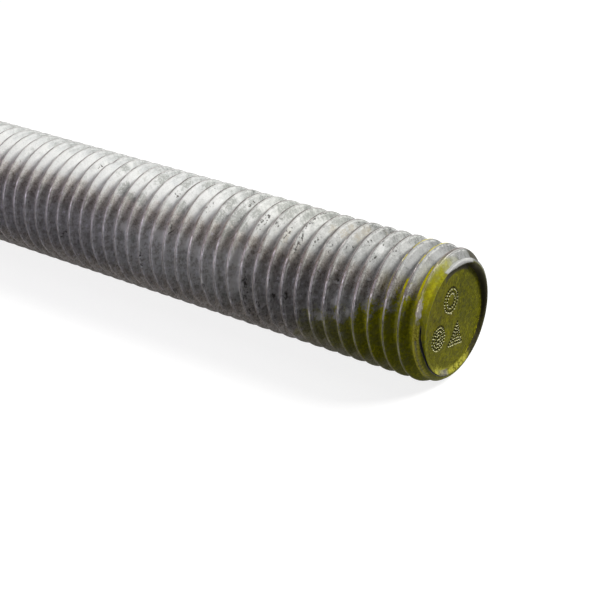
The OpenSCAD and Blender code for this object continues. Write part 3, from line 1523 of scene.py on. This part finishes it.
class PaintGrain:
    """The paint's uneven patterns, from patches to specks."""

    def __init__(self, on: CoatBoard) -> None:
        """Draws the patterns.

        Args:
            on: Board of the paint group.
        """
        self.patch = on.noise(on.place, 0.5, 4.0, 0.65)
        self.fine = on.noise(on.place, 2.2, 4.0, 0.65)
        self.speck = on.noise(on.place, 6.0, 2.0, 0.6)


@dataclass(frozen=True)
class BeadLine:
    """A flank on which paint gathers in beads: where it starts round the rod and ends along it."""

    from_turn: tuple[float, float]
    to_depth: float


@dataclass(frozen=True)
class MarkingPaint:
    """Thin olive-yellow paint dabbed on the marked end, thick and yellow where it gathers."""

    thin: Color = rgb(0.36, 0.365, 0.012)
    deep: Color = rgb(0.225, 0.23, 0.009)
    worn: Color = rgb(0.22, 0.22, 0.07)
    thick: Color = rgb(0.62, 0.56, 0.006)
    # Paint beads, made brighter than the paint as painted light.
    lit_bead: Color = rgb(0.95, 0.86, 0.008)
    # Paint rubbed pale on the crests, laid on the underside only as a painted highlight.
    rubbed_and_lit: Color = rgb(0.60, 0.575, 0.26)
    mustard: Color = rgb(0.38, 0.325, 0.010)
    pale: Color = rgb(0.57, 0.54, 0.075)
    on_disc: Color = rgb(0.45, 0.435, 0.03)
    on_edge: Color = rgb(0.95, 0.89, 0.13)
    fleck: Color = rgb(0.03, 0.03, 0.006)
    dull: Color = rgb(0.60, 0.60, 0.42)
    scratch: Color = rgb(0.36, 0.34, 0.05)
    spray_deg: float = 235.0
    spray_margin_deg: float = 20.0
    bead_end: tuple[float, float] = (0.43, 0.375)
    bead_lines: Sequence[BeadLine] = (BeadLine((0.290, 0.308), 4.0), BeadLine((0.350, 0.362), 9.0))
    reach: tuple[tuple[float, float], ...] = (
        (0, 112), (2, 100), (3.5, 94), (6.5, 85), (9.5, 76), (12.5, 69),
        (15.5, 58), (18.5, 54), (21.5, 52), (24, 44), (27, 14),
    )

    def reach_ramp(self, on: CoatBoard) -> Signal:
        """Draws how far round from the spray's middle the paint reaches, by depth.

        Args:
            on: Board of the paint group.

        Returns:
            The reach in half turns, with a margin so that the curve stays above 0.
        """
        node = on.add("ShaderNodeFloatCurve")
        far = self.reach[-1][0]
        curve = node.mapping.curves[0]
        points = [(along / far, (half + self.spray_margin_deg) / 180) for along, half in self.reach]
        for place, value in points[1:-1]:
            curve.points.new(place, value)
        curve.points[0].location, curve.points[-1].location = points[0], points[-1]
        node.mapping.update()
        on.join(on.depth / far, node.inputs["Value"])
        return Signal(on, node.outputs[0])

    def on_thread(self, on: CoatBoard, grain: PaintGrain) -> tuple[Signal, Signal]:
        """Draws the thin coat on the thread, scraped off along the crests.

        Args:
            on: Board of the paint group.
            grain: The paint's patterns.

        Returns:
            The masks of the coat, and of its crests on the rod's underside, which take a painted highlight.
        """
        lean = on.angle - self.spray_deg / 360
        short = self.reach_ramp(on) - on.math("PINGPONG", lean, 0.5) * 2.0 - self.spray_margin_deg / 180
        short = short + (grain.patch - 0.5) * 0.46 + (grain.fine - 0.5) * 0.12
        beneath = on.turned.step(0.45, 0.51)
        on_crest = on.gap.step(0.21, 0.08) * on.depth.step(0.7, 1.1)
        on_crest = on_crest * (1.0 - beneath * 0.2)
        kept = short.step(0.05, 0.3) * grain.patch.step(0.35, 0.6)
        scraped = on_crest * (0.8 - kept * 0.4)
        thin_far = on.depth.step(10.0, 26.0) * 0.58
        # Paint thinned on the underside, which lightens it there as painted light from below.
        underside_lightening = on.turned.step(0.59, 0.635) * on.depth.step(3.0, 12.0)
        coat = short.step(-0.03, 0.06) * (1.0 - scraped)
        coat = coat * (1.0 - thin_far) * (1.0 - underside_lightening * 0.5)
        return coat, on_crest * beneath

    def bead_windows(self, on: CoatBoard) -> list[Signal]:
        """Draws the flanks that hold beads of paint.

        Args:
            on: Board of the paint group.

        Returns:
            One mask for each line of beads.
        """
        gathers = on.off.step(0.28, 0.45) * on.depth.step(0.7, 1.1)
        windows = []
        for line in self.bead_lines:
            around = on.angle.band(line.from_turn, self.bead_end)
            windows.append(gathers * around * on.depth.step(line.to_depth, line.to_depth - 0.6))
        return windows

    def gathered(self, on: CoatBoard, grain: PaintGrain) -> Signal:
        """Draws the paint that gathered in a crest's fold and on the chamfer's shoulder.

        Args:
            on: Board of the paint group.
            grain: The paint's patterns.

        Returns:
            How thick it lies.
        """
        in_seam = abs(on.off - 0.05).step(0.07, 0.03) * abs(on.angle - 0.25).step(0.09, 0.06)
        in_seam = in_seam * on.depth.band((9.5, 8.0), (2.6, 3.2)) * grain.patch.step(0.38, 0.5)
        shoulder = on.depth.band((1.3, 0.9), (0.35, 0.55)) * abs(on.angle - 0.385).step(0.05, 0.02)
        shoulder = shoulder * on.radius.step(10.15, 10.35) * grain.fine.step(0.38, 0.52)
        return in_seam | shoulder * 0.45

    def thread_colors(self, on: CoatBoard, grain: PaintGrain, crest_below: Signal, haze: Signal) -> None:
        """Lays the paint's colours on the thread and the chamfer.

        Args:
            on: Board of the paint group.
            grain: The paint's patterns.
            crest_below: Mask of the crests on the rod's underside.
            haze: Mask of the overspray.
        """
        on.color = self.deep
        on.lay(self.thin, grain.fine.step(0.39, 0.61))
        on.lay(self.worn, grain.patch.step(0.52, 0.4) * 0.6)
        # Painted highlight on the paint of the underside's crests.
        on.lay(self.rubbed_and_lit, crest_below * 0.75)
        edge = on.depth.step(2.0, 1.6) * on.gap.step(0.6, 0.3)
        edge = edge * on.turned.band((0.45, 0.48), (0.66, 0.6)) * on.radius.step(10.5, 10.8)
        on.lay(self.on_edge, edge * grain.fine.step(0.24, 0.58))
        on.lay(self.mustard, haze * grain.fine.step(0.6, 0.36) * 0.85)

    def disc_colors(self, on: CoatBoard, grain: PaintGrain, on_face: Signal) -> None:
        """Lays the disc's dull patches, scratches and flecks.

        Args:
            on: Board of the paint group.
            grain: The paint's patterns.
            on_face: Mask of the disc.
        """
        uneven = on.noise(on.stretch(on.place, (1, 1, 1), (4, 19, 7)), 0.75, 5.0, 0.75)
        on.tint(self.dull, on_face * uneven.step(0.56, 0.42) * 0.8)
        on.tint(self.dull, on_face * grain.fine.step(0.52, 0.4) * 0.5)
        axes = on.outputs(on.add("ShaderNodeSeparateXYZ", Vector=on.place))
        across = axes["Y"] - axes["Z"] * 1.3
        along = axes["Y"] * 1.3 + axes["Z"]
        lines = on.value("ShaderNodeCombineXYZ", X=along * 0.22, Y=across * 2.6)
        lines = on.noise(lines, 1.0, 2.0, 0.6).step(0.6, 0.66)
        lower_right = (axes["Y"] - axes["Z"]).step(3.0, 8.0)
        on.lay(self.scratch, lines * (on_face * lower_right) * 0.4)
        fleck = on.noise(on.stretch(on.place, (1, 1, 1), (2, 13, 5)), 1.5, 2.0, 0.6)
        on.lay(self.fleck, on_face * fleck.step(0.575, 0.615) * 0.7)

    def group(self) -> bpy.types.NodeTree:
        """Builds the node group.

        Returns:
            A group that gives how much paint covers a place, how thick it lies and its colour.
        """
        on = CoatBoard("marking_paint", {"Cover": FLOAT, "Thick": FLOAT, "Color": COLOR})
        grain = PaintGrain(on)
        coat, crest_below = self.on_thread(on, grain)
        top_side = (on.angle - 0.25 + grain.patch * 0.1).step(0.04, 0.13)
        haze = top_side * on.depth.step(2.4, 1.2) * grain.speck.step(0.08, 0.41)
        on_face = on.radius.step(10.2, 9.9) * on.depth.step(1.6, 1.2)
        near_line, far_line = self.bead_windows(on)
        beads = (near_line | far_line) * grain.fine.step(0.28, 0.5)
        low_right = abs(on.angle + 0.105).step(0.1, 0.05)
        puddle = low_right * (on.radius.step(8.5, 9.0) * on_face) * grain.fine.step(0.46, 0.56)
        thick = beads | self.gathered(on, grain) | puddle * 0.8
        gold = (grain.fine + grain.patch * 0.5).step(0.78, 0.98) * 0.5
        self.thread_colors(on, grain, crest_below, haze)
        on.lay(self.thick, thick | gold)
        # Beads of paint, made bright as painted light.
        on.lay(self.lit_bead, beads)
        on.tint(self.on_disc, on_face * (1.0 - puddle))
        self.disc_colors(on, grain, on_face)
        cover = coat | haze | on_face | near_line | far_line | thick
        return on.give(Cover=cover, Thick=thick, Color=on.color)


@dataclass(frozen=True)
class RodFinish:
    """Zinc with paint over it."""

    place: ThreadPlace
    zinc: ZincCoat = field(default_factory=ZincCoat)
    paint: MarkingPaint = field(default_factory=MarkingPaint)
    under_paint: Color = rgb(0.52, 0.52, 0.05)
    # Dark scale, also laid as painted shadow under the torn lip.
    scale: Color = rgb(0.045, 0.040, 0.024)
    # Unpainted zinc in the rim's fold, darkened near black as painted shade.
    fold: Color = rgb(0.03, 0.03, 0.04)
    # Bottoms of the punched dots, near black as pooled paint and painted shade.
    pit: Color = rgb(0.012, 0.012, 0.009)
    burr: Color = rgb(0.88, 0.85, 0.52)
    specular: float = 0.05

    def film(self, board: NodeBoard, zinc: Signals, paint: Signals, lit: Signal) -> Signal:
        """Mixes the paint's colour with that of the zinc under it.

        Args:
            board: Board of the material.
            zinc: Outputs of the zinc group.
            paint: Outputs of the paint group.
            lit: Mask of the rim's pale paint.

        Returns:
            The film's colour.
        """
        tinted = board.mix("MULTIPLY", 1.0, zinc["Color"], self.under_paint)
        film = board.mix("MIX", 0.82 + paint["Thick"] * 0.18, tinted, paint["Color"])
        rubbed_and_lit = lit * zinc["Height"].step(0.085, 0.125)
        return board.mix("MIX", rubbed_and_lit * 0.8, film, self.paint.pale)

    def lip_shadow(self, spot: Signals, height: Signal, bare: Signal) -> Signal:
        """Draws a painted shadow under the torn lip, as a ragged dark line.

        Args:
            spot: Outputs of the place group.
            height: The zinc's height, which makes the line ragged.
            bare: Mask of the bare lip.

        Returns:
            The mask.
        """
        jagged = spot["Radius"] + height * 3.0
        line = abs(spot["Angle"] - 0.245).step(0.085, 0.062) * jagged.step(8.55, 8.9)
        line = line * spot["Depth"].step(0.3, 0.45) * spot["Depth"].step(2.0, 1.5)
        return line * spot["Radius"].step(9.75, 9.6) * (1.0 - bare)

    def material(self) -> bpy.types.Material:
        """Builds the material.

        Returns:
            The material for the whole skin.
        """
        made, board = new_material("galvanised_steel")
        spot = board.place_group(self.place.group(), {})
        zinc = board.place_group(self.zinc.group(), spot)
        paint = board.place_group(self.paint.group(), spot)
        pit, fold, bare, dark, lit = (
            board.outputs(board.add("ShaderNodeAttribute", {"attribute_name": name}))["Fac"]
            for name in (PIT_LAYER, FOLD_LAYER, BARE_LAYER, DARK_LAYER, PALE_LAYER)
        )
        folded = fold.step(0.3, 0.7)
        cover = paint["Cover"] * (1.0 - (folded | (bare | zinc["Bare"])))
        board.color = zinc["Color"]
        board.lay(self.film(board, zinc, paint, lit), cover)
        board.lay(self.zinc.bright, bare * 0.45)
        # Dark scale on the rim, with painted shadow under the torn lip.
        board.lay(self.scale, dark.step(0.2, 0.8) * 0.92)
        # Painted shadow under the torn lip.
        board.lay(self.scale, self.lip_shadow(spot, zinc["Height"], bare) * 0.93)
        # The fold's unpainted zinc, darkened near black as painted shade.
        board.lay(self.fold, folded)
        # Punched dots' bottoms: pooled paint, and painted shade.
        board.lay(self.pit, pit.step(0.1, 0.28) * 0.97)
        board.lay(self.burr, pit.step(-0.15, -0.35) * 0.9)
        metal = zinc["Metal"] * ((1.0 - (cover | dark)) | 0.15)
        height = zinc["Height"] * (1.0 - cover * 0.5)
        bump = board.value("ShaderNodeBump", Height=height, Distance=MM, Strength=1.0)
        shader = board.value(
            "ShaderNodeBsdfPrincipled", Base_Color=board.color, Metallic=metal, Normal=bump,
            Roughness=zinc["Roughness"], Specular_IOR_Level=self.specular,
        )
        board.add("ShaderNodeOutputMaterial", Surface=shader)
        return made


@dataclass(frozen=True)
class Lamp:
    """A soft light that looks at the marked part of the rod."""

    name: str
    place: tuple[float, float, float]
    size: tuple[float, float]
    watts: float
    color: tuple[float, float, float] = (1.0, 1.0, 1.0)


@dataclass
class Studio:
    """Camera, pale floor and soft lights."""

    floor_z: float
    target: tuple[float, float, float] = (0.10, 0.0, 0.0)
    lens: float = 88.5
    camera_place: tuple[float, float, float] = (0.26226, -0.19371, 0.10739)
    azimuth_deg: float = 36.86
    elevation_deg: float = 25.05
    fill: float = 0.03
    floor_dark: Color = rgb(0.15, 0.15, 0.15)
    floor_shown: Color = rgb(0.3, 0.3, 0.3)
    floor_glow: float = 0.82
    lamps: Sequence[Lamp] = (
        Lamp("key", (0.437, 0.282, 0.409), (0.25, 0.20), 4.05, (1.0, 1.0, 0.97)),
        Lamp("top", (0.10, 0.0, 0.70), (0.5, 0.5), 0.7),
        Lamp("side", (-0.17, -0.40, 0.13), (0.10, 0.42), 0.85, (0.92, 0.86, 1.0)),
        Lamp("back", (-0.35, 0.55, 0.10), (0.5, 0.4), 1.2),
        Lamp("left", (-0.60, -0.05, 0.08), (0.45, 0.45), 0.36, (0.96, 0.92, 1.0)),
    )

    def camera(self) -> bpy.types.Object:
        """Places the camera.

        Returns:
            The camera's object.
        """
        data = bpy.data.cameras.new("camera")
        data.lens = self.lens
        data.clip_start, data.clip_end = 0.01, 20.0
        made = bpy.data.objects.new("camera", data)
        made.location = self.camera_place
        made.rotation_euler = (math.radians(90 - self.elevation_deg), 0.0, math.radians(self.azimuth_deg))
        bpy.context.scene.collection.objects.link(made)
        bpy.context.scene.camera = made
        return made

    def floor(self) -> bpy.types.Object:
        """Lays the pale floor.

        Returns:
            The floor's object.
        """
        bm = bmesh.new()
        bmesh.ops.create_grid(bm, x_segments=1, y_segments=1, size=6.0)
        bmesh.ops.translate(bm, verts=bm.verts[:], vec=(0, 0, self.floor_z))
        mesh = bpy.data.meshes.new("floor")
        bm.to_mesh(mesh)
        bm.free()
        made = bpy.data.objects.new("floor", mesh)
        mesh.materials.append(self.floor_paint())
        bpy.context.scene.collection.objects.link(made)
        return made

    def seen_directly(self, board: NodeBoard) -> Signal:
        """Returns 1 for the rays that show the background: from the camera, off gloss and through glass."""
        rays = board.outputs(board.add("ShaderNodeLightPath"))
        return rays["Is Camera Ray"] | rays["Is Glossy Ray"] | rays["Is Transmission Ray"]

    def floor_paint(self) -> bpy.types.Material:
        """Builds the floor's matt paint.

        Returns:
            The material, which shows white and lights the rod as a dark grey would.
        """
        made, board = new_material("floor_paint")
        shown = self.seen_directly(board)
        color = board.mix("MIX", shown, self.floor_dark, self.floor_shown)
        both = board.add("ShaderNodeAddShader")
        board.join(board.value("ShaderNodeBsdfDiffuse", Color=color), both.inputs[0])
        glow = board.value("ShaderNodeEmission", Color=rgb(1, 1, 1), Strength=shown * self.floor_glow)
        board.join(glow, both.inputs[1])
        board.add("ShaderNodeOutputMaterial", Surface=both.outputs[0])
        return made

    def world(self) -> None:
        """Sets a white backdrop and a plain grey fill."""
        world = bpy.data.worlds.new("studio")
        bpy.context.scene.world = world
        world.use_nodes = True
        world.node_tree.nodes.clear()
        board = NodeBoard(world.node_tree)
        shown = self.seen_directly(board)
        strength = self.fill + shown * (1.0 - self.fill)
        back = board.value("ShaderNodeBackground", Color=rgb(1, 1, 1), Strength=strength)
        board.add("ShaderNodeOutputWorld", Surface=back)

    def light(self) -> None:
        """Hangs the soft lights."""
        for lamp in self.lamps:
            data = bpy.data.lights.new(lamp.name, "AREA")
            data.shape = "RECTANGLE"
            data.size, data.size_y = lamp.size
            data.energy = lamp.watts
            data.color = lamp.color
            made = bpy.data.objects.new(lamp.name, data)
            made.location = lamp.place
            aim = Vector(self.target) - Vector(lamp.place)
            made.rotation_euler = aim.to_track_quat("-Z", "Y").to_euler()
            bpy.context.scene.collection.objects.link(made)

    def build(self) -> None:
        """Sets up the whole studio."""
        self.camera()
        self.world()
        self.floor()
        self.light()
        bpy.context.scene.view_settings.view_transform = "Standard"


MARKS = (
    DotMark(MarkShape.RING, -1.6, 4.0, (2.1, 1.3)),
    DotMark(MarkShape.RING, -5.6, -1.5, (2.0, 1.4, 0.8, 0.2)),
    DotMark(MarkShape.WEDGE, 0.3, -3.4, (2.5, 1.4, 0.3)),
)
NICKS = (
    Nick(77.4, 95.0, 0.45, 1.3),
    Nick(58.0, 100.0, 0.25, 0.8),
    Nick(31.0, 70.0, 0.22, 0.8),
)


def main() -> None:
    """Builds the studio and the rod, and dresses the rod."""
    logging.basicConfig(level=logging.INFO, format="%(message)s")
    low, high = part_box("threaded_rod")
    Studio(floor_z=low[2]).build()
    length = (high[0] - low[0]) / MM
    rod_form = ThreadedRod(length=length, nicks=NICKS, marks=MARKS)
    rod = rod_form.build()
    finish = RodFinish(ThreadPlace(rod_form.thread, rod_form.end_x))
    rod.data.materials.append(finish.material())
    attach(rod, "root")
    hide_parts("threaded_rod")


if __name__ == "__main__":
    main()
